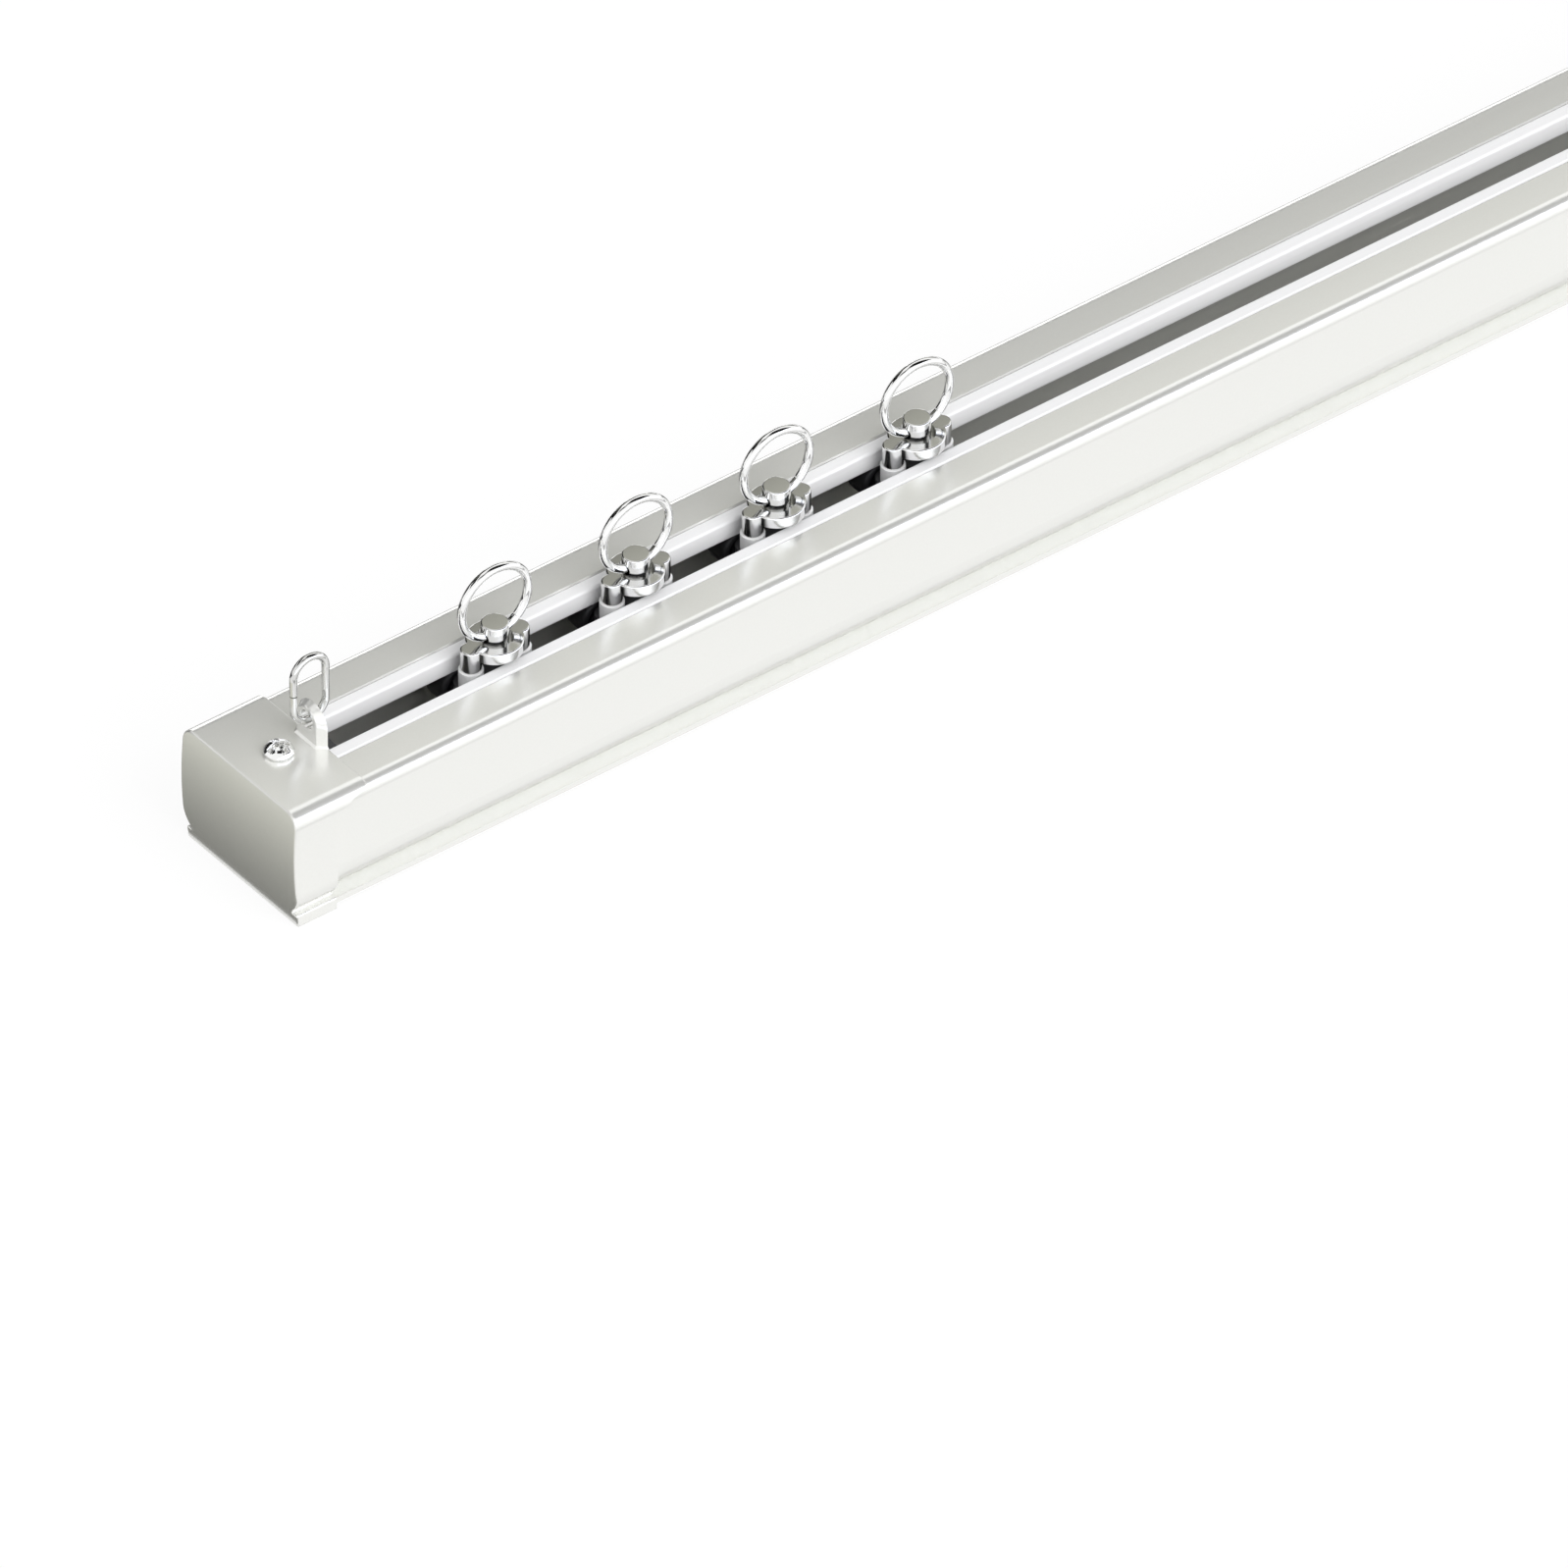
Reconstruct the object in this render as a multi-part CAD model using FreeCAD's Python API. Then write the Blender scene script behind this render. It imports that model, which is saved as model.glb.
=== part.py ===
import FreeCAD, Part
import math
import os

# Curtain track lying on its back with the slot up, four ring gliders in it and a cap on each end.
# X runs along the track, Y across it and Z up from the undersides of the caps.
# The origin is midway between the caps, under the track. Sizes are in millimetres.

# Track extrusion
track_length = 500.0
track_width = 30.0
track_height = 22.7
track_wall = 1.3
slot_lip_thickness = 2.5     # lips beside the slot, which carry the curtain's weight
face_corner_radius = 2.15    # long edges between the face and the sides
clip_lip_thickness = 1.15    # side lips along the back that ceiling clips grip
bend_radius = 8.5            # rounded lower part of the sides, above the lips
bend_height = 7.9            # where the side runs straight up, above the back
cavity_corner_radius = 1.0
face_edge_break = 0.3        # small bevel where the face meets the liner

# Slot liners
slot_width = 6.9             # clear width between the two liners
liner_flange = 2.8           # width of the strip that shows on the face
liner_flange_thickness = 1.1
liner_wall = 1.15            # thickness of the part that lines the slot
liner_depth = 3.9            # from the face down to the running surface
liner_reach = 6.75           # width of the running surface, from the slot outwards
liner_edge_radius = 0.5

# End caps
cap_side_skin = 0.95         # walls outside the track
cap_lip_skin = 0.5
cap_lip_top_skin = 0.45
cap_bottom_skin = 1.0        # the caps reach under the track and carry it
cap_top_skin = 0.75          # flap above the track's face
cap_end_wall = 2.0
cap_crown = 0.85             # how far the end face bulges
cap_lean = 0.55              # how far its lower edge is set back
cap_bend_radius = 5.7
cap_bend_height = 6.3
flap_length = 15.6           # from the end face to the free edge on top
flap_edge_depth = 0.5        # how far the flap's free end reaches down the sides
skirt_length = 8.7           # the same along the sides and the bottom
skirt_arc_radius = 6.0       # hollow corner between flap and skirt
cap_corner_radius = 2.8
cap_lip_radius = 0.44        # rounding along the lips
cap_groove_radius = 0.3
cap_rim_radius = 0.4         # rounding around the end face
cap_flap_rounding = 0.25     # along the flap's free edge
tongue_length = 2.8          # block under the eye that keeps the cap straight in the slot
tongue_depth = 3.2

# Eye that stands on each cap
eye_width = 8.1              # at the flap's free edge
eye_height = 7.65
eye_thickness = 1.5
eye_front_width = 5.4        # its flat outer face, from which the sides slope back
eye_front_height = 7.0
eye_front_radius = 0.4
eye_hole_height = 4.5
eye_hole_radius = 1.8
eye_foot = 0.4               # width and height of the sloped foot around its base

# Cap screws and clamp nuts
screw_place = 8.3            # from the end face
screw_head_radius = 2.75
screw_head_height = 1.9
screw_rim_height = 0.6
screw_shank_radius = 1.5
screw_recess_width = 1.0
screw_recess_length = 3.9
screw_recess_depth = 1.3
screw_hole_clearance = 0.2
nut_outer_reach = 5.7        # from the screw towards the track's end; its other end stops the gliders
nut_width = 19.0
nut_thickness = 3.2
nut_rib_length = 6.4         # rib that fills the slot, so that the nut can't turn
nut_rib_height = 3.0

# End links
link_wire = 1.4
link_width = 8.25
link_height = 14.75
link_seam = 0.25
link_sink = 0.2              # how far its wire lies below the middle of the eye's hole

# Gliders
glider_count = 4
first_glider = 54.25         # from the end face to the first post
glider_pitch = 30.1
disc_radius = 5.1
disc_top = 3.25              # heights on the glider are above the track's face
disc_bottom = 1.2
disc_groove_radius = 3.3
disc_groove_depth = 1.2
pillar_radius = 1.88
pillar_place = 5.1           # from the post to each pillar
pillar_depth = 1.1           # how far the bright part goes down into the slot
pillar_pin_radius = 1.2
pillar_pin_length = 4.5
bracket_edge_radius = 0.3
collar_skin = 0.3            # how far the carriage's collars stand out past the pillars
post_radius = 2.43
post_top = 6.6
post_edge_radius = 0.25
shank_radius = 1.5
shank_end = 0.1
rivet_radius = 1.9
washer_radius = 2.6
washer_thickness = 0.7
ring_wire = 1.6
ring_outside = 15.7
ring_seam = 0.2
ring_seam_angle = -49.0      # place of the ring's butt seam, from +X towards +Z
ring_hole_clearance = 0.115
ring_lying_gap = 0.15        # between a ring that lies flat and the disc
ring_stop_gap = 0.6          # between a ring that lies flat and the end link, at the glider's stop

# Carriage, axles and wheels
carriage_length = 27.0       # over the buffers, which keep the gliders apart
carriage_block = 15.0        # tall middle, between the wheels
carriage_buffer_top = 2.8    # how much lower the buffers are than the middle
carriage_width = 6.8
carriage_drop = 3.4          # body below the axles
carriage_top_gap = 0.7       # body below the liners' running surface
carriage_end_radius = 2.4
axle_spacing = 8.4
axle_radius = 1.25
axle_overhang = 0.15         # how far the axle ends stand out of the wheels
wheel_radius = 4.0
wheel_width = 5.2
wheel_edge_radius = 0.8
wheel_rim = 1.0              # height of the rim ring
wheel_hub_radius = 2.0
wheel_dish_depth = 1.2
wheel_side_gap = 0.6
wheel_running_gap = 0.2

# Clearances
fit_gap = 0.05               # between pieces that stay together
running_gap = 0.05           # radial, between a shaft and what it turns in
press_gap = 0.02             # radial, between a shaft and what is pressed on it

# Places worked out from the sizes above
half_length = track_length / 2
half_width = track_width / 2
back = cap_bottom_skin
face = back + track_height
slot_half = slot_width / 2
seat_half = slot_half + liner_flange
running_surface = face - liner_depth
end_face = -half_length - cap_end_wall
cap_top = face + cap_top_skin
cap_free_edge = end_face + flap_length
eye_hole_z = cap_top + eye_hole_height
screw_x = end_face + screw_place
ring_radius = (ring_outside - ring_wire) / 2
ring_sag = ring_radius - math.sqrt(ring_radius ** 2 - post_radius ** 2)
ring_hole_radius = ring_wire / 2 + ring_sag / 2 + ring_hole_clearance
groove_floor = disc_top - disc_groove_depth
ring_hole_z = disc_top + ring_lying_gap + ring_wire / 2
ring_reach = 2 * ring_radius - ring_sag / 2 + ring_wire / 2
link_side = cap_free_edge - eye_thickness / 2 + link_width / 2
nut_stop = link_side + ring_stop_gap + ring_reach - carriage_length / 2
axle_z = running_surface - wheel_running_gap - wheel_radius
wheel_inner_y = carriage_width / 2 + wheel_side_gap
collar_radius = pillar_radius + collar_skin

# Outlines across the track: half widths, then heights
track_outline = {
    "half": half_width,
    "lip_half": half_width,
    "bend_radius": bend_radius,
    "corner": face_corner_radius,
    "low": back,
    "lip_top": back + clip_lip_thickness,
    "bend_z": back + bend_height,
    "top": face,
}
cap_outline = {
    "half": half_width + cap_side_skin,
    "lip_half": half_width + cap_lip_skin,
    "bend_radius": cap_bend_radius,
    "corner": cap_corner_radius,
    "low": 0.0,
    "lip_top": back + clip_lip_thickness + cap_lip_top_skin,
    "bend_z": back + cap_bend_height,
    "top": cap_top,
}


def vec(x, y, z):
    return FreeCAD.Vector(x, y, z)


def line(a, b):
    return Part.LineSegment(a, b).toShape()


def arc(a, middle, b):
    return Part.Arc(a, middle, b).toShape()


def block(x, y, z):
    """Box from three (low, high) pairs."""
    size = [side[1] - side[0] for side in (x, y, z)]
    return Part.makeBox(*size, vec(x[0], y[0], z[0]))


def rod(radius, start, end):
    """Round bar between two points."""
    return Part.makeCylinder(radius, start.distanceToPoint(end), start, end - start)


def polygon_prism(points, length):
    """Solid from a closed outline of points, pushed along the vector."""
    return Part.Face(Part.makePolygon(points + points[:1])).extrude(length)


def edges_where(shape, test):
    """Edges of a shape whose ends and middle all pass a test."""
    chosen = []
    for edge in shape.Edges:
        middle = edge.valueAt((edge.FirstParameter + edge.LastParameter) / 2)
        points = [vertex.Point for vertex in edge.Vertexes] + [middle]
        if all(test(point) for point in points):
            chosen.append(edge)
    return chosen


def near(a, b):
    return abs(a - b) < 1e-4


def rounded_side(half, radius, bend_z, low_z, top, corner):
    """Arc from a low level out to the side, the straight side and the corner at the top."""
    centre = vec(0, half - radius, bend_z)
    turn = math.asin((bend_z - low_z) / radius)
    start = centre + vec(0, math.cos(turn), -math.sin(turn)) * radius
    middle = centre + vec(0, math.cos(turn / 2), -math.sin(turn / 2)) * radius
    side_low = vec(0, half, bend_z)
    side_high = vec(0, half, top - corner)
    slope = corner * (1 - math.sqrt(0.5))
    corner_middle = vec(0, half - slope, top - slope)
    corner_end = vec(0, half - corner, top)
    edges = [arc(start, middle, side_low), line(side_low, side_high)]
    edges.append(arc(side_high, corner_middle, corner_end))
    return edges, start, corner_end


def closed_prism(edges, low, high, x_start, x_end):
    """Solid from a right-hand side, its mirror image and straight lines between them."""
    mirrored = [edge.mirror(vec(0, 0, 0), vec(0, 1, 0)) for edge in edges]
    low_line = line(low, vec(0, -low.y, low.z))
    high_line = line(high, vec(0, -high.y, high.z))
    ordered = Part.__sortEdges__(edges + mirrored + [low_line, high_line])
    outline = Part.Face(Part.Wire(ordered))
    outline.translate(vec(x_start, 0, 0))
    return outline.extrude(vec(x_end - x_start, 0, 0))


def outline_prism(outline, grow, x_start, x_end):
    """One of the outlines, grown by a gap everywhere but at its top."""
    low = vec(0, outline["lip_half"] + grow, outline["low"] - grow)
    lip = vec(0, outline["lip_half"] + grow, outline["lip_top"] + grow)
    half = outline["half"] + grow
    radius = outline["bend_radius"] + grow
    side = (half, radius, outline["bend_z"], lip.z, outline["top"], outline["corner"])
    curve, groove, high = rounded_side(*side)
    edges = [line(low, lip), line(lip, groove)] + curve
    return closed_prism(edges, low, high, x_start, x_end)


def cavity_prism():
    """The channel inside the track, parallel to its outside."""
    half = half_width - track_wall
    radius = bend_radius - track_wall
    floor = back + track_wall
    ceiling = face - slot_lip_thickness
    side = (half, radius, back + bend_height, floor, ceiling, cavity_corner_radius)
    edges, low, high = rounded_side(*side)
    return closed_prism(edges, low, high, -half_length, half_length)


def make_track():
    """Extruded track: flat back, side lips, channel and a slot with a rebate for the liners."""
    whole = (-half_length, half_length)
    body = outline_prism(track_outline, 0, *whole)
    slot_edge = slot_half + liner_wall + fit_gap
    slot = block(whole, (-slot_edge, slot_edge), (face / 2, face))
    rebate = block(whole, (-seat_half, seat_half), (face - liner_flange_thickness, face))
    body = body.cut(cavity_prism()).cut(slot).cut(rebate)
    rims = edges_where(body, lambda p: near(abs(p.y), seat_half) and near(p.z, face))
    return body.makeChamfer(face_edge_break, rims)


def make_liner(side):
    """Plastic strip clipped on a slot lip; the wheels run on its inner flange."""
    under_lip = face - slot_lip_thickness - fit_gap
    wall_y = slot_half + liner_wall
    outer_y = slot_half + liner_reach
    flange_y = seat_half - fit_gap
    flange_z = face - liner_flange_thickness
    outline = [
        (slot_half, face),
        (flange_y, face),
        (flange_y, flange_z),
        (wall_y, flange_z),
        (wall_y, under_lip),
        (outer_y, under_lip),
        (outer_y, running_surface),
        (slot_half, running_surface),
    ]
    points = [vec(-half_length, side * y, z) for y, z in outline]
    strip = polygon_prism(points, vec(track_length, 0, 0))
    slot_edges = edges_where(strip, lambda p: near(abs(p.y), slot_half))
    long_edges = [edge for edge in slot_edges if edge.Length > track_length / 2]
    strip = strip.makeFillet(liner_edge_radius, long_edges)
    rims = edges_where(strip, lambda p: near(abs(p.y), flange_y) and near(p.z, face))
    return strip.makeChamfer(face_edge_break, rims)


def end_profile():
    """Side view of a cap, with its bulging end that leans in at the bottom."""
    y = -track_width
    upper = vec(end_face, y, cap_top)
    lower = vec(end_face + cap_lean, y, 0)
    bulge = (upper + lower) / 2 - vec(cap_crown, 0, 0)
    edges = [
        arc(upper, bulge, lower),
        line(lower, vec(cap_free_edge, y, 0)),
        line(vec(cap_free_edge, y, 0), vec(cap_free_edge, y, cap_top)),
        line(vec(cap_free_edge, y, cap_top), upper),
    ]
    return Part.Face(Part.Wire(edges)).extrude(vec(0, 2 * track_width, 0))


def cap_shell():
    """Cap before its eye: bulging end, flap on top, skirts around the sides and the bottom."""
    shell = outline_prism(cap_outline, 0, end_face - 2 * cap_crown, cap_free_edge)
    lip_half = cap_outline["lip_half"]
    lip_top = cap_outline["lip_top"]
    lips = edges_where(shell, lambda p: near(abs(p.y), lip_half) and p.z < lip_top + fit_gap)
    lips = [edge for edge in lips if edge.Length > flap_length]
    shell = shell.makeFillet(cap_lip_radius, lips)
    grooves = edges_where(shell, lambda p: near(p.z, lip_top) and abs(p.y) < lip_half - cap_lip_skin)
    grooves = [edge for edge in grooves if near(edge.BoundBox.YLength, 0)]
    shell = shell.makeFillet(cap_groove_radius, grooves)
    shell = shell.common(end_profile())
    outside = min(shell.Faces, key=lambda one: one.CenterOfMass.x)
    shell = shell.makeFillet(cap_rim_radius, outside.Edges)
    inside = outline_prism(track_outline, fit_gap, -half_length, cap_free_edge)
    shell = shell.cut(inside).cut(skirt_cut())
    flap_rim = edges_where(shell, lambda p: near(p.x, cap_free_edge) and near(p.z, cap_top))
    return shell.makeFillet(cap_flap_rounding, flap_rim)


def skirt_cut():
    """What is taken off the sides and the bottom past the skirt, with a hollow corner."""
    skirt_x = end_face + skirt_length
    arc_x = skirt_x + skirt_arc_radius
    flap_z = face - flap_edge_depth
    arc_z = flap_z - skirt_arc_radius
    slope = skirt_arc_radius * math.sqrt(0.5)
    beyond = cap_free_edge + cap_end_wall
    below = -cap_end_wall
    y = -track_width
    edges = [
        line(vec(skirt_x, y, below), vec(skirt_x, y, arc_z)),
        arc(vec(skirt_x, y, arc_z), vec(arc_x - slope, y, arc_z + slope), vec(arc_x, y, flap_z)),
        line(vec(arc_x, y, flap_z), vec(beyond, y, flap_z)),
        line(vec(beyond, y, flap_z), vec(beyond, y, below)),
        line(vec(beyond, y, below), vec(skirt_x, y, below)),
    ]
    return Part.Face(Part.Wire(edges)).extrude(vec(0, 2 * track_width, 0))


def arch(x, width, height):
    """Outline of an arch with a round top that stands on the cap."""
    half = width / 2
    spring = cap_top + height - half
    return Part.Wire([
        line(vec(x, -half, cap_top), vec(x, half, cap_top)),
        line(vec(x, half, cap_top), vec(x, half, spring)),
        arc(vec(x, half, spring), vec(x, 0, spring + half), vec(x, -half, spring)),
        line(vec(x, -half, spring), vec(x, -half, cap_top)),
    ])


def foot_outline(grow, z):
    """Outline of the eye's base, grown to the front and the sides."""
    front_x = cap_free_edge - eye_thickness - grow
    front_y = eye_front_width / 2 + grow / 2
    back_y = eye_width / 2 + grow
    return Part.makePolygon([
        vec(front_x, -front_y, z),
        vec(cap_free_edge, -back_y, z),
        vec(cap_free_edge, back_y, z),
        vec(front_x, front_y, z),
        vec(front_x, -front_y, z),
    ])


def make_eye():
    """Standing eye: an arch with a flat outer face, sides that slope back and a small foot."""
    front_x = cap_free_edge - eye_thickness
    outer = arch(front_x, eye_front_width, eye_front_height)
    inner = arch(cap_free_edge, eye_width, eye_height)
    eye = Part.makeLoft([outer, inner], True, True)
    above = cap_top + fit_gap
    rims = edges_where(eye, lambda p: near(p.x, front_x) and p.z > cap_top - fit_gap)
    rims = [edge for edge in rims if edge.BoundBox.ZMax > above]
    eye = eye.makeFillet(eye_front_radius, rims)
    foot_outlines = [foot_outline(eye_foot, cap_top), foot_outline(0, cap_top + eye_foot)]
    foot = Part.makeLoft(foot_outlines, True, True)
    return eye.fuse(foot)


def make_cap():
    """End cap at the low X end, in one piece with its eye and its tongue."""
    hole = vec(screw_x, 0, face - cap_top_skin)
    eye_hole = vec(cap_free_edge - flap_length / 2, 0, eye_hole_z)
    tongue_half = slot_half - 3 * fit_gap
    tongue = block(
        (cap_free_edge - tongue_length, cap_free_edge),
        (-tongue_half, tongue_half),
        (face - tongue_depth, face),
    )
    cap = cap_shell().fuse(make_eye()).fuse(tongue).removeSplitter()
    cap = cap.cut(rod(screw_shank_radius + screw_hole_clearance, hole, hole + vec(0, 0, face)))
    return cap.cut(rod(eye_hole_radius, eye_hole, eye_hole + vec(flap_length, 0, 0)))


def make_screw():
    """Cross-recessed pan head screw through the cap into its clamp nut."""
    low = vec(screw_x, 0, running_surface - nut_thickness)
    seat = vec(screw_x, 0, cap_top)
    top = vec(screw_x, 0, cap_top + screw_head_height)
    rise = screw_head_height - screw_rim_height
    dome_radius = (screw_head_radius ** 2 + rise ** 2) / (2 * rise)
    dome = Part.makeSphere(dome_radius, top - vec(0, 0, dome_radius))
    head = rod(screw_head_radius, seat, top).common(dome)
    screw = head.fuse(rod(screw_shank_radius, low, seat)).removeSplitter()
    half_long = screw_recess_length / 2
    half_wide = screw_recess_width / 2
    deep = (top.z - screw_recess_depth, top.z)
    along = (screw_x - half_long, screw_x + half_long)
    narrow = (screw_x - half_wide, screw_x + half_wide)
    recess = block(along, (-half_wide, half_wide), deep)
    return screw.cut(recess.fuse(block(narrow, (-half_long, half_long), deep)))


def make_nut():
    """Clamp nut under the liners, with a rib that stands in the slot; it stops the gliders."""
    rib_half = slot_half - 3 * fit_gap
    low = running_surface - nut_thickness
    plate = block(
        (screw_x - nut_outer_reach, nut_stop),
        (-nut_width / 2, nut_width / 2),
        (low, running_surface),
    )
    corners = [edge for edge in plate.Edges if near(edge.Length, nut_thickness)]
    plate = plate.makeFillet(nut_thickness / 2, corners)
    rib = block(
        (screw_x - nut_rib_length / 2, screw_x + nut_rib_length / 2),
        (-rib_half, rib_half),
        (running_surface, running_surface + nut_rib_height),
    )
    hole = rod(screw_shank_radius + press_gap, vec(screw_x, 0, low), vec(screw_x, 0, face))
    return plate.fuse(rib).removeSplitter().cut(hole)


def make_link():
    """Long wire link that stands in the cap's eye, with its butt seam in the outer leg."""
    radius = (link_width - link_wire) / 2
    half_eye = eye_thickness / 2
    bottom = eye_hole_z - link_sink
    middle_x = cap_free_edge - half_eye
    low_z = bottom + radius
    high_z = bottom + link_height - link_wire - radius
    seam_z = (low_z + high_z) / 2
    left_x = middle_x - radius
    right_x = middle_x + radius
    path = Part.Wire([
        line(vec(left_x, 0, seam_z + link_seam / 2), vec(left_x, 0, high_z)),
        arc(vec(left_x, 0, high_z), vec(middle_x, 0, high_z + radius), vec(right_x, 0, high_z)),
        line(vec(right_x, 0, high_z), vec(right_x, 0, low_z)),
        arc(vec(right_x, 0, low_z), vec(middle_x, 0, bottom), vec(left_x, 0, low_z)),
        line(vec(left_x, 0, low_z), vec(left_x, 0, seam_z - link_seam / 2)),
    ])
    start = vec(left_x, 0, seam_z + link_seam / 2)
    section = Part.Wire(Part.makeCircle(link_wire / 2, start, vec(0, 0, 1)))
    return path.makePipeShell([section], True, True)


def make_bracket(x):
    """Cast bracket: a grooved disc between two pillars whose pins go into the carriage."""
    top = face + disc_top
    bracket = rod(disc_radius, vec(x, 0, face + disc_bottom), vec(x, 0, top))
    pillar_foot = face - pillar_depth
    for side in (-1, 1):
        place = x + side * pillar_place
        bracket = bracket.fuse(rod(pillar_radius, vec(place, 0, pillar_foot), vec(place, 0, top)))
    bracket = bracket.removeSplitter()
    rims = edges_where(bracket, lambda p: near(p.z, top))
    bracket = bracket.makeFillet(bracket_edge_radius, rims)
    for side in (-1, 1):
        place = x + side * pillar_place
        pin_end = vec(place, 0, pillar_foot - pillar_pin_length)
        bracket = bracket.fuse(rod(pillar_pin_radius, pin_end, vec(place, 0, pillar_foot)))
    bracket = bracket.cut(rod(disc_groove_radius, vec(x, 0, face + groove_floor), vec(x, 0, top)))
    bore = rod(shank_radius + running_gap, vec(x, 0, face), vec(x, 0, top))
    return bracket.cut(bore)


def make_post(x):
    """Swivel post with a cross hole for the ring, riveted over under its washer."""
    top = face + post_top
    head_z = face + groove_floor + fit_gap
    head = rod(post_radius, vec(x, 0, head_z), vec(x, 0, top))
    rim = edges_where(head, lambda p: near(p.z, top))
    head = head.makeFillet(post_edge_radius, rim)
    washer_bottom = face + disc_bottom - fit_gap - washer_thickness
    post = head.fuse(rod(shank_radius, vec(x, 0, face + shank_end), vec(x, 0, head_z)))
    post = post.fuse(rod(rivet_radius, vec(x, 0, face + shank_end), vec(x, 0, washer_bottom)))
    hole_z = face + ring_hole_z
    hole = rod(ring_hole_radius, vec(x - disc_radius, 0, hole_z), vec(x + disc_radius, 0, hole_z))
    return post.removeSplitter().cut(hole)


def make_washer(x):
    """Washer that holds the post in the bracket from below."""
    top = face + disc_bottom - fit_gap
    low = vec(x, 0, top - washer_thickness)
    high = vec(x, 0, top)
    return rod(washer_radius, low, high).cut(rod(shank_radius + press_gap, low, high))


def make_ring(x):
    """Round wire ring through the post, with a butt seam."""
    centre = vec(x, 0, face + ring_hole_z - ring_sag / 2 + ring_radius)
    gap = math.degrees(ring_seam / ring_radius)
    section = Part.Face(Part.Wire(Part.makeCircle(
        ring_wire / 2, centre + vec(ring_radius, 0, 0), vec(0, 0, 1))))
    section.rotate(centre, vec(0, -1, 0), ring_seam_angle + gap / 2)
    return section.revolve(centre, vec(0, -1, 0), 360 - gap)


def make_carriage(x):
    """Plastic carriage in the channel, with buffers, a collar around each pillar and two axle bores."""
    top = running_surface - carriage_top_gap
    low = axle_z - carriage_drop
    width = carriage_width / 2
    levels = [(carriage_length / 2, top - carriage_buffer_top), (carriage_block / 2, top)]
    halves = []
    for half, level in levels:
        slab = block((x - half, x + half), (-width, width), (low, level))
        corners = [edge for edge in slab.Edges if near(edge.Length, level - low)]
        halves.append(slab.makeFillet(carriage_end_radius, corners))
    body = halves[0].fuse(halves[1])
    collar_top = face - pillar_depth - fit_gap
    for side in (-1, 1):
        place = x + side * pillar_place
        body = body.fuse(rod(collar_radius, vec(place, 0, low), vec(place, 0, collar_top)))
    body = body.removeSplitter()
    pin_floor = face - pillar_depth - pillar_pin_length - fit_gap
    for side in (-1, 1):
        place = x + side * pillar_place
        pin_hole = rod(pillar_pin_radius + press_gap, vec(place, 0, pin_floor), vec(place, 0, face))
        axle_x = x + side * axle_spacing / 2
        start = vec(axle_x, -carriage_width, axle_z)
        end = vec(axle_x, carriage_width, axle_z)
        body = body.cut(pin_hole).cut(rod(axle_radius + running_gap, start, end))
    return body


def make_axle(x):
    """Steel axle with bevelled ends."""
    reach = wheel_inner_y + wheel_width + axle_overhang
    axle = rod(axle_radius, vec(x, -reach, axle_z), vec(x, reach, axle_z))
    return axle.makeChamfer(axle_overhang, edges_where(axle, lambda p: near(abs(p.y), reach)))


def make_wheel(x, side):
    """Moulded wheel with a rounded tread and a dished face on each side of its web."""
    tread = rod(wheel_radius, vec(0, 0, 0), vec(0, wheel_width, 0))
    wheel = tread.makeFillet(wheel_edge_radius, [e for e in tread.Edges if len(e.Vertexes) == 1])
    rim_inside = wheel_radius - wheel_rim
    for start in (0, wheel_width - wheel_dish_depth):
        low = vec(0, start, 0)
        high = vec(0, start + wheel_dish_depth, 0)
        wheel = wheel.cut(rod(rim_inside, low, high).cut(rod(wheel_hub_radius, low, high)))
    wheel = wheel.cut(rod(axle_radius + press_gap, vec(0, 0, 0), vec(0, wheel_width, 0)))
    near_y = wheel_inner_y if side > 0 else -wheel_inner_y - wheel_width
    wheel.translate(vec(x, near_y, axle_z))
    return wheel


def mirrored_end(shape):
    """The same piece at the far end of the track."""
    return shape.mirror(vec(0, 0, 0), vec(1, 0, 0))


def track_pieces():
    """Pieces that stay put, and the two end links."""
    pieces = {"track": make_track(), "front_liner": make_liner(-1), "rear_liner": make_liner(1)}
    ends = {
        "end_cap": make_cap(),
        "cap_screw": make_screw(),
        "clamp_nut": make_nut(),
        "end_link": make_link(),
    }
    for name, shape in ends.items():
        pieces[name + "_left"] = shape
        pieces[name + "_right"] = mirrored_end(shape)
    return pieces


def glider_pieces(number):
    """All pieces of one glider; number counts from 1 at the left end."""
    x = end_face + first_glider + (number - 1) * glider_pitch
    pieces = {
        "carriage": make_carriage(x),
        "bracket": make_bracket(x),
        "swivel_post": make_post(x),
        "post_washer": make_washer(x),
        "ring": make_ring(x),
    }
    for end, shift in (("left", -axle_spacing / 2), ("right", axle_spacing / 2)):
        pieces[end + "_axle"] = make_axle(x + shift)
        pieces[end + "_front_wheel"] = make_wheel(x + shift, -1)
        pieces[end + "_rear_wheel"] = make_wheel(x + shift, 1)
    return {"%s_%d" % (name, number): shape for name, shape in pieces.items()}


def all_pieces():
    pieces = track_pieces()
    for number in range(1, glider_count + 1):
        pieces.update(glider_pieces(number))
    return pieces


os.makedirs("parts", exist_ok=True)
for node, shape in all_pieces().items():
    shape.exportStep("parts/%s.step" % node)
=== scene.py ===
import math

import bmesh
import bpy
from mathutils import Matrix, Vector


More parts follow.
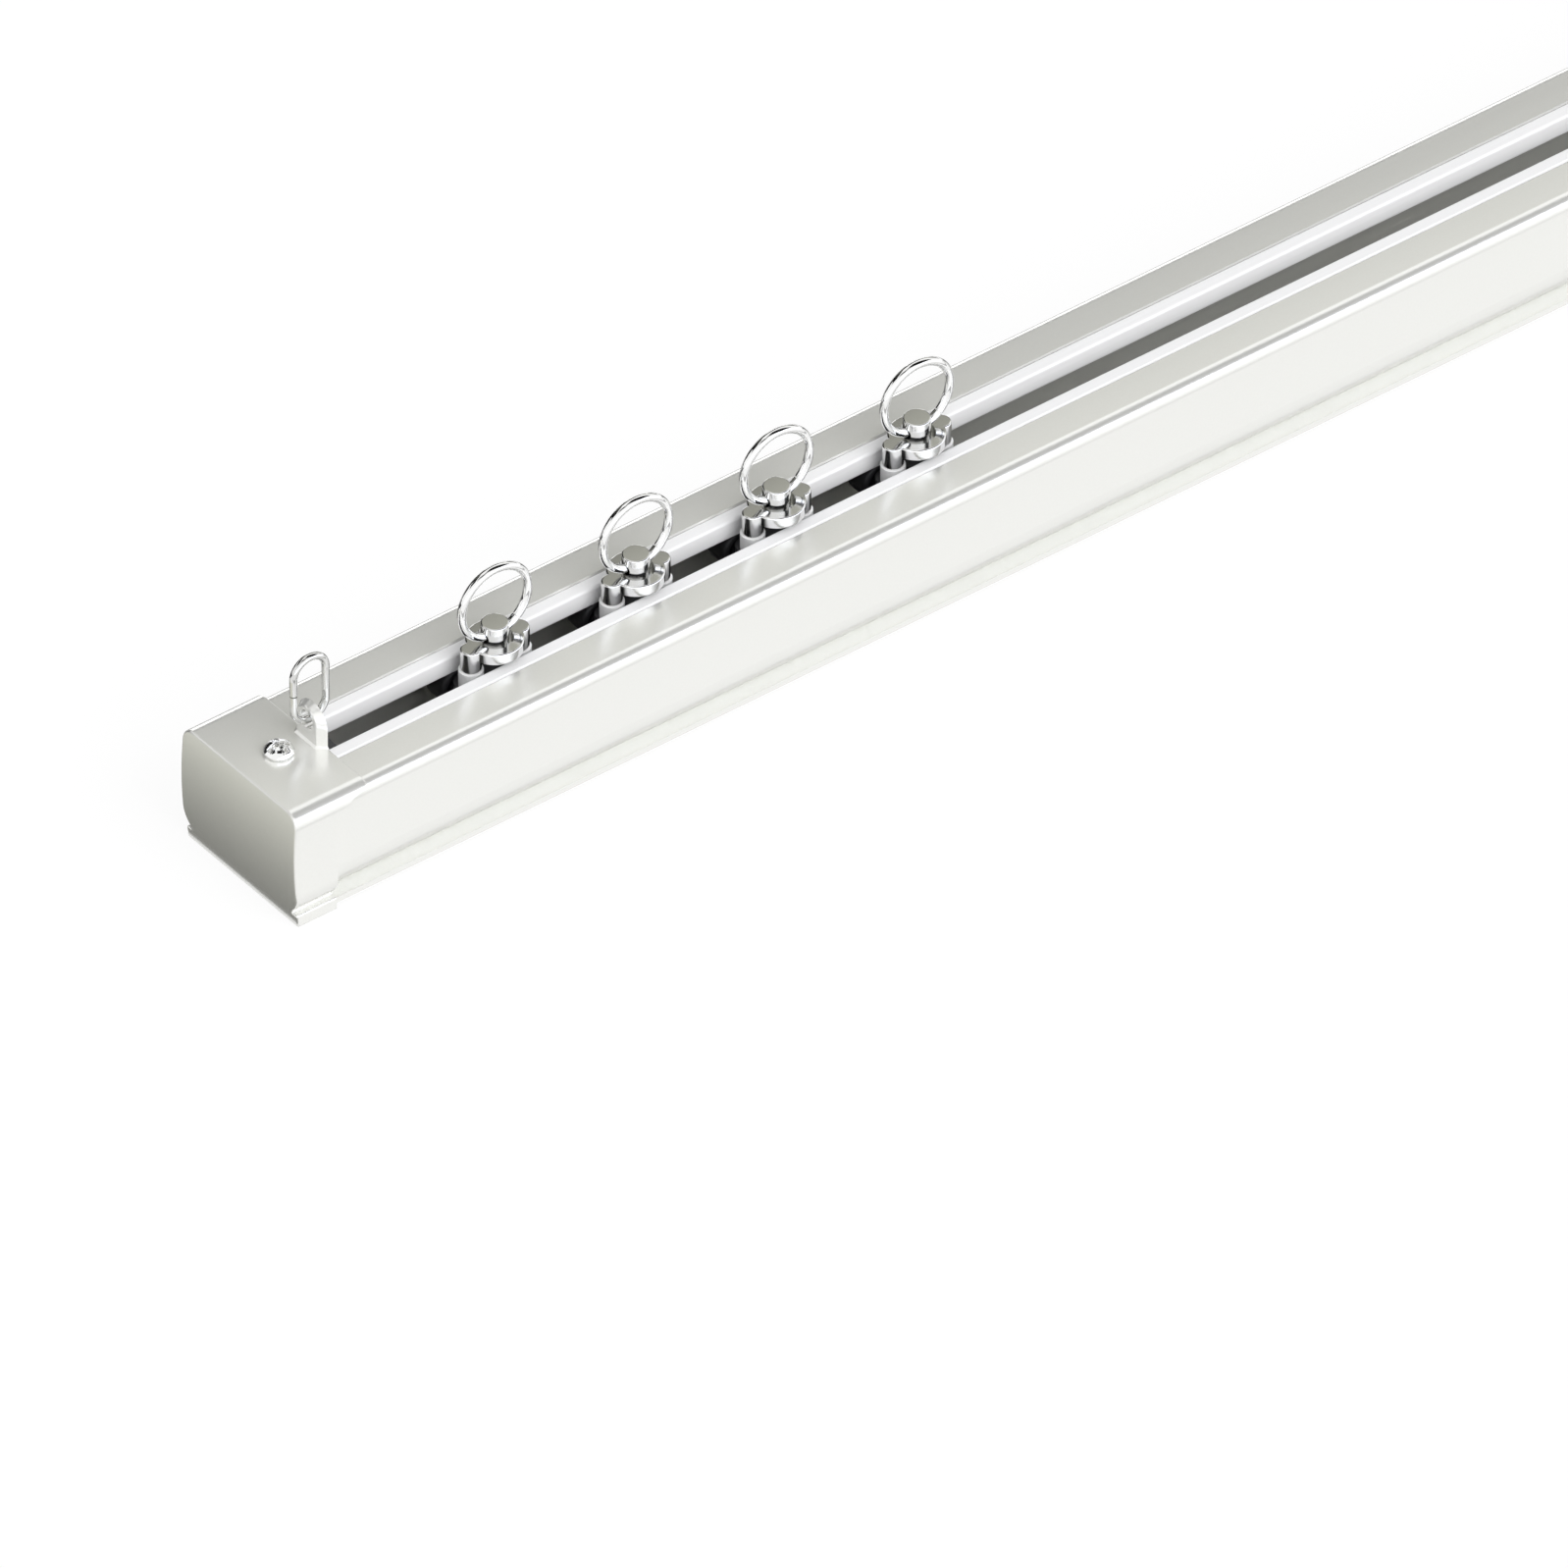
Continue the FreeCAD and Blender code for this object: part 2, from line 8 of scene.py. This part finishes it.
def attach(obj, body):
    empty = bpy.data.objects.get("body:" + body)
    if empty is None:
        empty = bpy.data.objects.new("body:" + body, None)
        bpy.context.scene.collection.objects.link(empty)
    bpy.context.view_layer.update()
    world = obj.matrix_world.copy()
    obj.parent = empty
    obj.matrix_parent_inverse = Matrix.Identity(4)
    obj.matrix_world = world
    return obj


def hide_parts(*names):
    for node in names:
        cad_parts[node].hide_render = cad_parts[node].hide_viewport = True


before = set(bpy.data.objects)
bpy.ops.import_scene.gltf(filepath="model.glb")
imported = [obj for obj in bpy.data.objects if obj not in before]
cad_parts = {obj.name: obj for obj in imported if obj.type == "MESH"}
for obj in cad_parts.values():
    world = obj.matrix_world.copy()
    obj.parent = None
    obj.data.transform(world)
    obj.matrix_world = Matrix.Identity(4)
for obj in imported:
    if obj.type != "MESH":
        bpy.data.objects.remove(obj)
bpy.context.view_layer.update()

MM = 0.001

# Sizes of the object in millimetres, as in its source
END_FACE = -252.0
CAP_TOP = 24.45
CARRIAGE_TOP = 19.1
SCREW_PLACE = 8.3

# Screw with its spun head, in millimetres
SCREW_X = END_FACE + SCREW_PLACE
SCREW_RADIUS = 2.75
SCREW_HEIGHT = 2.3
SCREW_RIM = 0.7
RIM_UNDERCUT = 0.45
SCREW_SHANK = 1.5
SCREW_LENGTH = 7.85
RECESS_LENGTH = 4.4
RECESS_WIDTH = 1.15
RECESS_DEPTH = 1.6
RECESS_SLOPE = 0.2
MERGE = 0.001

# Share of the recess's depth that is lost towards the ends of its arms
RECESS_TAPER = 0.45

# Points of the head: rows down the dome, steps round it, and the rim's turns in degrees
DOME_ROWS = 44
HEAD_STEPS = 128
RIM_TURNS = (20, 45, 70, 90)

# Height in millimetres over the carriage's face at which its colour starts to turn from painted
# shade to pale, and is pale
COLLAR_START = 0.02
COLLAR_FULL = 0.06

# Height of the finest bumps in millimetres
RELIEF = 0.02

# Marks on an extrusion are a hundred times longer along the track than across it
DRAWN = (0.01, 1, 1)

# Sockets of a Mix node: its two numbers, its two colours and its mixed colour
NUMBER_A, NUMBER_B = 2, 3
COLOUR_A, COLOUR_B = 6, 7
MIXED = 2

# Camera: a very long lens far off, so that the track's long edges stay parallel. Angles are in
# degrees, the clips in metres and the rest in millimetres
VIEW_AZIMUTH = -37.51
VIEW_ELEVATION = 39.40
VIEW_TARGET = (-153.98, -23.5, -11.92)
VIEW_DISTANCE = 11847.0
VIEW_LENS = 1600.0
NEAR_CLIP = 1.0
FAR_CLIP = 60.0

# Floor: its side in metres, its glow to the eye, and the shade that takes the shadow
FLOOR_SIDE = 12.0
FLOOR_GLOW = 0.9
FLOOR_SHADE = "5A5A5A"

# Even light of the surroundings on the object, where 1 is white
AMBIENT = 0.5

# Cards: how far off the far ones stand and how high the ones on the floor lie, in millimetres,
# and the shade of the dark ones, where 1 is white
FAR = 3000.0
MAT_HEIGHT = 0.3
STRIP_HEIGHT = 0.2
DARK = 0.01


def linear(code):
    """An sRGB hex colour as the linear values that a node takes."""
    parts = [int(code[i:i + 2], 16) / 255 for i in (0, 2, 4)]
    parts = [p / 12.92 if p <= 0.04045 else ((p + 0.055) / 1.055) ** 2.4 for p in parts]
    return (*parts, 1.0)


def add(tree, kind, inputs=None, **settings):
    """Adds a node with its settings; an input is a value or another node's output."""
    made = tree.nodes.new(kind)
    for name, value in settings.items():
        setattr(made, name, value)
    for socket, value in (inputs or {}).items():
        if isinstance(value, bpy.types.NodeSocket):
            tree.links.new(value, made.inputs[socket])
        else:
            made.inputs[socket].default_value = value
    return made


def empty_material(name):
    """A new material and its node tree, with nothing in it yet."""
    made = bpy.data.materials.new(name)
    made.use_nodes = True
    made.node_tree.nodes.clear()
    return made, made.node_tree


def grain(size):
    """Scale of a noise whose marks are that many millimetres across."""
    return 1000.0 / size


def pearl(tree, spot):
    """Colour of the pearl silver coat.

    Real flakes are a tenth of these, which are drawn as coarse as they need to show."""
    flake = add(tree, "ShaderNodeTexNoise", {"Vector": spot, "Scale": grain(0.35), "Detail": 1.0})
    colour = add(tree, "ShaderNodeMix", {
        "Factor": flake.outputs["Fac"], COLOUR_A: linear("F1F1ED"), COLOUR_B: linear("F6F6F3"),
    }, data_type="RGBA")
    return colour.outputs[MIXED]


def pearl_coated_aluminium():
    """Extruded aluminium under a satin pearl silver coat.

    It gives a soft sheen with blurred reflections, and very faint lines along the extrusion."""
    made, tree = empty_material("pearl_coated_aluminium")
    place = add(tree, "ShaderNodeTexCoord")
    spot = place.outputs["Object"]
    drawn = add(tree, "ShaderNodeMapping", {"Vector": spot, "Scale": DRAWN})
    lines = add(tree, "ShaderNodeTexNoise", {
        "Vector": drawn.outputs[0], "Scale": grain(0.5), "Detail": 3.0})
    gloss = add(tree, "ShaderNodeMapRange", {
        "Value": lines.outputs["Fac"], "To Min": 0.22, "To Max": 0.28})
    bump = add(tree, "ShaderNodeBump", {
        "Height": lines.outputs["Fac"], "Strength": 0.04, "Distance": RELIEF * MM})
    shader = add(tree, "ShaderNodeBsdfPrincipled", {
        "Base Color": pearl(tree, spot), "Metallic": 0.6, "Roughness": gloss.outputs[0],
        "Normal": bump.outputs[0]})
    add(tree, "ShaderNodeOutputMaterial", {"Surface": shader.outputs[0]})
    return made


def pearl_painted_zinc():
    """Zinc castings of the end caps, painted to match the track.

    It gives the same pearl sheen, with a fine orange-peel surface."""
    made, tree = empty_material("pearl_painted_zinc")
    place = add(tree, "ShaderNodeTexCoord")
    spot = place.outputs["Object"]
    peel = add(tree, "ShaderNodeTexNoise", {"Vector": spot, "Scale": grain(1.2), "Detail": 1.0})
    bump = add(tree, "ShaderNodeBump", {
        "Height": peel.outputs["Fac"], "Strength": 0.05, "Distance": RELIEF * MM})
    shader = add(tree, "ShaderNodeBsdfPrincipled", {
        "Base Color": pearl(tree, spot), "Metallic": 0.6, "Roughness": 0.24,
        "Normal": bump.outputs[0]})
    add(tree, "ShaderNodeOutputMaterial", {"Surface": shader.outputs[0]})
    return made


def white_nylon():
    """Extruded nylon liners.

    It gives a clean bright white with a soft waxy shine, and faint lines along the strip."""
    made, tree = empty_material("white_nylon")
    place = add(tree, "ShaderNodeTexCoord")
    drawn = add(tree, "ShaderNodeMapping", {"Vector": place.outputs["Object"], "Scale": DRAWN})
    lines = add(tree, "ShaderNodeTexNoise", {
        "Vector": drawn.outputs[0], "Scale": grain(0.4), "Detail": 2.0})
    colour = add(tree, "ShaderNodeMix", {
        "Factor": lines.outputs["Fac"], COLOUR_A: linear("E5E5E6"), COLOUR_B: linear("EBEBEC"),
    }, data_type="RGBA")
    bump = add(tree, "ShaderNodeBump", {
        "Height": lines.outputs["Fac"], "Strength": 0.05, "Distance": RELIEF * MM})
    shader = add(tree, "ShaderNodeBsdfPrincipled", {
        "Base Color": colour.outputs[MIXED], "Roughness": 0.5, "IOR": 1.53,
        "Normal": bump.outputs[0]})
    add(tree, "ShaderNodeOutputMaterial", {"Surface": shader.outputs[0]})
    return made


def bright_chrome(name, tone):
    """Chrome plate on drawn steel wire and on screw heads.

    It gives hard, mirror-like reflections with a trace of polishing haze."""
    made, tree = empty_material(name)
    place = add(tree, "ShaderNodeTexCoord")
    haze = add(tree, "ShaderNodeTexNoise", {
        "Vector": place.outputs["Object"], "Scale": grain(1.5), "Detail": 4.0})
    gloss = add(tree, "ShaderNodeMapRange", {
        "Value": haze.outputs["Fac"], "To Min": 0.02, "To Max": 0.05})
    shader = add(tree, "ShaderNodeBsdfPrincipled", {
        "Base Color": linear(tone), "Metallic": 1.0, "Roughness": gloss.outputs[0]})
    add(tree, "ShaderNodeOutputMaterial", {"Surface": shader.outputs[0]})
    return made


def chromed_casting():
    """Die-cast zinc under chrome plate, on the brackets and posts.

    It gives a softer metal shine than the wire, with the slight unevenness of a casting."""
    made, tree = empty_material("chromed_casting")
    place = add(tree, "ShaderNodeTexCoord")
    cast = add(tree, "ShaderNodeTexNoise", {
        "Vector": place.outputs["Object"], "Scale": grain(0.4), "Detail": 2.0})
    gloss = add(tree, "ShaderNodeMapRange", {
        "Value": cast.outputs["Fac"], "To Min": 0.12, "To Max": 0.16})
    bump = add(tree, "ShaderNodeBump", {
        "Height": cast.outputs["Fac"], "Strength": 0.02, "Distance": RELIEF * MM})
    shader = add(tree, "ShaderNodeBsdfPrincipled", {
        "Base Color": linear("EBEBEA"), "Metallic": 1.0, "Roughness": gloss.outputs[0],
        "Normal": bump.outputs[0]})
    add(tree, "ShaderNodeOutputMaterial", {"Surface": shader.outputs[0]})
    return made


def zinc_plated_steel():
    """Zinc-plated steel of the axles and washers.

    It gives a bluish grey, cloudy shine."""
    made, tree = empty_material("zinc_plated_steel")
    place = add(tree, "ShaderNodeTexCoord")
    cloud = add(tree, "ShaderNodeTexNoise", {
        "Vector": place.outputs["Object"], "Scale": grain(2.5), "Detail": 3.0})
    colour = add(tree, "ShaderNodeMix", {
        "Factor": cloud.outputs["Fac"], COLOUR_A: linear("AFB3B7"), COLOUR_B: linear("C9CCCF"),
    }, data_type="RGBA")
    gloss = add(tree, "ShaderNodeMapRange", {
        "Value": cloud.outputs["Fac"], "To Min": 0.25, "To Max": 0.4})
    shader = add(tree, "ShaderNodeBsdfPrincipled", {
        "Base Color": colour.outputs[MIXED], "Metallic": 1.0, "Roughness": gloss.outputs[0]})
    add(tree, "ShaderNodeOutputMaterial", {"Surface": shader.outputs[0]})
    return made


def carriage_nylon():
    """Moulded nylon carriage with pale collars round the bracket's pillars.

    It gives a dark grey body, painted shade that sinks it into the slot, and satin white collars
    above it."""
    made, tree = empty_material("carriage_nylon")
    place = add(tree, "ShaderNodeTexCoord")
    height = add(tree, "ShaderNodeSeparateXYZ", {"Vector": place.outputs["Object"]})
    mould = add(tree, "ShaderNodeTexNoise", {
        "Vector": place.outputs["Object"], "Scale": grain(0.6), "Detail": 2.0})
    collar = add(tree, "ShaderNodeMapRange", {
        "Value": height.outputs["Z"], "From Min": (CARRIAGE_TOP + COLLAR_START) * MM,
        "From Max": (CARRIAGE_TOP + COLLAR_FULL) * MM})
    # Painted shade: the body's dark grey stands for the shade deep in the slot
    body = add(tree, "ShaderNodeMix", {
        "Factor": mould.outputs["Fac"], COLOUR_A: linear("28282A"), COLOUR_B: linear("303032"),
    }, data_type="RGBA")
    colour = add(tree, "ShaderNodeMix", {
        "Factor": collar.outputs[0], COLOUR_A: body.outputs[MIXED], COLOUR_B: linear("F2F2F2"),
    }, data_type="RGBA")
    bump = add(tree, "ShaderNodeBump", {
        "Height": mould.outputs["Fac"], "Strength": 0.1, "Distance": RELIEF * MM})
    shader = add(tree, "ShaderNodeBsdfPrincipled", {
        "Base Color": colour.outputs[MIXED], "Roughness": 0.38, "IOR": 1.53,
        "Normal": bump.outputs[0]})
    add(tree, "ShaderNodeOutputMaterial", {"Surface": shader.outputs[0]})
    return made


def black_nylon_and_slot_shade():
    """Moulded nylon wheels and clamp nuts.

    It gives an uneven satin near-black, kept this dark as painted shade so that they sink into the
    slot's shadow."""
    made, tree = empty_material("black_nylon_and_slot_shade")
    place = add(tree, "ShaderNodeTexCoord")
    mould = add(tree, "ShaderNodeTexNoise", {
        "Vector": place.outputs["Object"], "Scale": grain(0.7), "Detail": 2.0})
    # Painted shade: the near-black stands for the shade deep in the slot
    colour = add(tree, "ShaderNodeMix", {
        "Factor": mould.outputs["Fac"], COLOUR_A: linear("2A2A2C"), COLOUR_B: linear("323234"),
    }, data_type="RGBA")
    gloss = add(tree, "ShaderNodeMapRange", {
        "Value": mould.outputs["Fac"], "To Min": 0.38, "To Max": 0.55})
    shader = add(tree, "ShaderNodeBsdfPrincipled", {
        "Base Color": colour.outputs[MIXED], "Roughness": gloss.outputs[0], "IOR": 1.53})
    add(tree, "ShaderNodeOutputMaterial", {"Surface": shader.outputs[0]})
    return made


def dress(material, *kinds):
    """Gives a material to every CAD node whose name starts with one of these words."""
    for name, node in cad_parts.items():
        if name.startswith(kinds):
            node.data.materials.clear()
            node.data.materials.append(material)


def screw_outline():
    """Half outline of the screw from the dome's top down.

    Each point is its distance from the axis and its height over the cap."""
    dome = SCREW_HEIGHT - SCREW_RIM
    ball = (SCREW_RADIUS ** 2 + dome ** 2) / (2 * dome)
    outline = []
    for i in range(DOME_ROWS + 1):
        out = SCREW_RADIUS * i / DOME_ROWS
        outline.append((out, SCREW_HEIGHT - ball + math.sqrt(ball ** 2 - out ** 2)))
    for turn in RIM_TURNS:
        a = math.radians(turn)
        out = SCREW_RADIUS - RIM_UNDERCUT * (1 - math.cos(a))
        outline.append((out, SCREW_RIM * (1 - math.sin(a))))
    return outline + [(SCREW_SHANK, 0.0), (SCREW_SHANK, -SCREW_LENGTH), (0.0, -SCREW_LENGTH)]


def recess_depth(x, y):
    """Depth of the cross recess under the dome, at a place from the screw's axis."""
    long, wide = RECESS_LENGTH / 2, RECESS_WIDTH / 2
    to_wall = max(min(long - abs(a), wide - abs(b)) for a, b in ((x, y), (y, x)))
    inside = max(0.0, min(1.0, to_wall / RECESS_SLOPE))
    return RECESS_DEPTH * inside * (1 - RECESS_TAPER * math.hypot(x, y) / long)


def make_screw_head(name, x):
    """Pan head with a cross recess whose walls slope in, and its shank down to the clamp nut."""
    shape = bmesh.new()
    outline = [shape.verts.new((out, 0, height)) for out, height in screw_outline()]
    edges = [shape.edges.new(pair) for pair in zip(outline, outline[1:])]
    bmesh.ops.spin(
        shape, geom=outline + edges, axis=(0, 0, 1), angle=math.tau, steps=HEAD_STEPS,
        use_merge=True)
    bmesh.ops.remove_doubles(shape, verts=shape.verts, dist=MERGE)
    for point in shape.verts:
        if point.co.z > SCREW_RIM:
            point.co.z -= recess_depth(point.co.x, point.co.y)
    bmesh.ops.recalc_face_normals(shape, faces=shape.faces)
    bmesh.ops.translate(shape, verts=shape.verts, vec=(x, 0, CAP_TOP))
    bmesh.ops.scale(shape, verts=shape.verts, vec=(MM, MM, MM))
    for face in shape.faces:
        face.smooth = True
    mesh = bpy.data.meshes.new("screw_head_" + name)
    shape.to_mesh(mesh)
    shape.free()
    mesh.materials.append(chrome)
    head = bpy.data.objects.new("screw_head_" + name, mesh)
    bpy.context.scene.collection.objects.link(head)
    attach(head, "track")
    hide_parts("cap_screw_" + name)


# The plating of the end links is a little greyer than that of the rings and screws
chrome = bright_chrome("bright_chrome", "F6F6F5")
dress(pearl_coated_aluminium(), "track")
dress(pearl_painted_zinc(), "end_cap")
dress(white_nylon(), "front_liner", "rear_liner")
dress(chrome, "ring", "cap_screw")
dress(bright_chrome("link_chrome", "DCDCDA"), "end_link")
dress(chromed_casting(), "bracket", "swivel_post")
dress(zinc_plated_steel(), "post_washer", "left_axle", "right_axle")
dress(carriage_nylon(), "carriage")
dress(
    black_nylon_and_slot_shade(), "clamp_nut", "left_front_wheel", "left_rear_wheel", "right_front_wheel",
    "right_rear_wheel")

make_screw_head("left", SCREW_X)
make_screw_head("right", -SCREW_X)


# Studio: floor, world, lamps, cards and camera

def rectangle(name, width, depth):
    """Flat sheet in metres, facing up, and the empty node tree of its own material."""
    shape = bmesh.new()
    bmesh.ops.create_grid(shape, x_segments=1, y_segments=1, size=0.5)
    bmesh.ops.scale(shape, vec=(width, depth, 1), verts=shape.verts)
    mesh = bpy.data.meshes.new(name)
    shape.to_mesh(mesh)
    shape.free()
    made, tree = empty_material(name)
    mesh.materials.append(made)
    sheet = bpy.data.objects.new(name, mesh)
    bpy.context.scene.collection.objects.link(sheet)
    return sheet, tree


def mirrored(tree, path):
    """One for a ray from a reflection or through something clear, and zero for others."""
    either = add(tree, "ShaderNodeMath", {
        0: path.outputs["Is Glossy Ray"], 1: path.outputs["Is Transmission Ray"],
    }, operation="MAXIMUM")
    return either.outputs[0]


def studio_floor():
    """Pale floor that looks white and takes the object's soft shadow."""
    _, tree = rectangle("studio_floor", FLOOR_SIDE, FLOOR_SIDE)
    path = add(tree, "ShaderNodeLightPath")
    in_metal = mirrored(tree, path)
    in_view = add(tree, "ShaderNodeMath", {
        0: path.outputs["Is Camera Ray"], 1: FLOOR_GLOW}, operation="MULTIPLY")
    glow = add(tree, "ShaderNodeMath", {0: in_metal, 1: in_view.outputs[0]}, operation="ADD")
    shade = add(tree, "ShaderNodeMix", {
        "Factor": in_metal, COLOUR_A: linear(FLOOR_SHADE), COLOUR_B: linear("000000"),
    }, data_type="RGBA")
    shadowed = add(tree, "ShaderNodeBsdfDiffuse", {"Color": shade.outputs[MIXED]})
    white = add(tree, "ShaderNodeEmission", {
        "Color": linear("FFFFFF"), "Strength": glow.outputs[0]})
    both = add(tree, "ShaderNodeAddShader", {0: shadowed.outputs[0], 1: white.outputs[0]})
    add(tree, "ShaderNodeOutputMaterial", {"Surface": both.outputs[0]})


def studio_world():
    """White surroundings to the eye and in reflections, and an even dim light on the object."""
    world = bpy.data.worlds.new("studio")
    bpy.context.scene.world = world
    world.use_nodes = True
    tree = world.node_tree
    tree.nodes.clear()
    path = add(tree, "ShaderNodeLightPath")
    seen = add(tree, "ShaderNodeMath", {
        0: mirrored(tree, path), 1: path.outputs["Is Camera Ray"]}, operation="MAXIMUM")
    level = add(tree, "ShaderNodeMix", {
        "Factor": seen.outputs[0], NUMBER_A: AMBIENT, NUMBER_B: 1.0})
    light = add(tree, "ShaderNodeBackground", {
        "Color": linear("FFFFFF"), "Strength": level.outputs[0]})
    add(tree, "ShaderNodeOutputWorld", {"Surface": light.outputs[0]})


def toward(azimuth, elevation):
    """Unit vector to a place round the object; azimuth 0 is in front and 90 to the right."""
    a, e = math.radians(azimuth), math.radians(elevation)
    return Vector((math.sin(a) * math.cos(e), -math.cos(a) * math.cos(e), math.sin(e)))


def sun(name, azimuth, elevation, strength, spread):
    """Soft lamp whose disc doesn't show in metal."""
    lamp = bpy.data.lights.new(name, "SUN")
    lamp.energy = strength
    lamp.angle = math.radians(spread)
    made = bpy.data.objects.new(name, lamp)
    bpy.context.scene.collection.objects.link(made)
    made.rotation_mode = "QUATERNION"
    made.rotation_quaternion = (-toward(azimuth, elevation)).to_track_quat("-Z", "Y")
    made.visible_glossy = False


def card(name, place, facing, size, low, high, colour="FFFFFF"):
    """Card that only reflections show; its shade runs from low to high along its depth."""
    width, depth = (side * MM for side in size)
    sheet, tree = rectangle(name, width, depth)
    where = add(tree, "ShaderNodeTexCoord")
    along = add(tree, "ShaderNodeSeparateXYZ", {"Vector": where.outputs["Object"]})
    tone = add(tree, "ShaderNodeMapRange", {
        "Value": along.outputs["Y"], "From Min": -depth / 2, "From Max": depth / 2,
        "To Min": low, "To Max": high})
    glow = add(tree, "ShaderNodeEmission", {
        "Color": linear(colour), "Strength": tone.outputs[0]})
    add(tree, "ShaderNodeOutputMaterial", {"Surface": glow.outputs[0]})
    sheet.location = Vector(place) * MM
    sheet.rotation_mode = "QUATERNION"
    sheet.rotation_quaternion = Vector(facing).to_track_quat("Z", "Y")
    sheet.visible_camera = False
    sheet.visible_diffuse = False
    sheet.visible_shadow = False
    sheet.visible_transmission = False
    return sheet


def standing_card(name, place, facing, size, low, high, colour="FFFFFF"):
    """Upright card beside the track. It faces to the front where facing is -1, else to the back."""
    card(name, place, (0, facing, 0), size, low, high, colour)


def lying_card(name, place, size, low, high, colour="FFFFFF"):
    """Card that lies face up on the floor."""
    return card(name, place, (0, 0, 1), size, low, high, colour)


def far_card(name, azimuth, elevation, size, shade):
    """Even card far off, turned to the object."""
    side = toward(azimuth, elevation)
    card(name, side * FAR, -side, size, shade, shade)


def studio_camera():
    """The photo's view."""
    lens = bpy.data.cameras.new("camera")
    lens.lens = VIEW_LENS
    lens.clip_start = NEAR_CLIP
    lens.clip_end = FAR_CLIP
    camera = bpy.data.objects.new("camera", lens)
    bpy.context.scene.collection.objects.link(camera)
    back = toward(VIEW_AZIMUTH, VIEW_ELEVATION)
    camera.location = Vector(VIEW_TARGET) * MM + back * VIEW_DISTANCE * MM
    camera.rotation_mode = "QUATERNION"
    camera.rotation_quaternion = (-back).to_track_quat("-Z", "Y")
    bpy.context.scene.camera = camera


studio_floor()
studio_world()

# Daylight from the front and above, and a low lamp for the back
sun("key_light", azimuth=8, elevation=31, strength=1.5, spread=50)
sun("top_light", azimuth=8, elevation=64, strength=0.75, spread=50)
sun("bounce_light", azimuth=2, elevation=33, strength=0.5, spread=60)
sun("rear_fill", azimuth=190, elevation=6, strength=1.1, spread=60)

# Behind the track: its face mirrors these, so that the rear flange is darker than the front one
standing_card(
    "rear_card", place=(47, 100, 136), facing=-1, size=(595, 55), low=0.0, high=0.88,
    colour="FFFFF1")
standing_card("rear_band", place=(47, 100, 85), facing=-1, size=(595, 47), low=0.0, high=0.0)

# On the floor behind: the left sides of the pillars, posts and wires mirror these
lying_card("rear_mat", place=(50, 61, MAT_HEIGHT), size=(600, 86), low=0.2, high=0.2)
lying_card("left_mat", place=(-575, 783, MAT_HEIGHT), size=(650, 1434), low=0.05, high=0.05)
lying_card("far_mat", place=(-190, 825, MAT_HEIGHT), size=(120, 1350), low=DARK, high=DARK)

# Beside the near end: the end face mirrors this one, turned so that it gets lighter away from it
end_mat = lying_card(
    "end_mat", place=(END_FACE - 20, 22, STRIP_HEIGHT), size=(84, 40), low=0.18, high=0.95,
    colour="FFFFF2")
end_mat.rotation_quaternion = Matrix.Rotation(math.radians(90), 4, "Z").to_quaternion()

# Far off: these make the dark lines in the chrome
far_card("top_card", azimuth=55, elevation=57, size=(2200, 3500), shade=DARK)
far_card("back_card", azimuth=194.5, elevation=12, size=(3120, 1385), shade=DARK)
far_card("high_card", azimuth=-38, elevation=66, size=(1500, 950), shade=DARK)
far_card("upper_left_card", azimuth=-128, elevation=51, size=(2800, 1300), shade=DARK)

# The bend at the track's front mirrors the first two of these, and its rear edge the third
lying_card("front_strip", place=(0, -54, STRIP_HEIGHT), size=(620, 14), low=0.5, high=0.5)
standing_card(
    "lip_softbox", place=(0, -60, 50), facing=1, size=(620, 36), low=2.5, high=2.5,
    colour="F0F4FF")
far_card("edge_light", azimuth=151, elevation=8, size=(1500, 1500), shade=2.0)

studio_camera()
bpy.context.scene.view_settings.view_transform = "Standard"
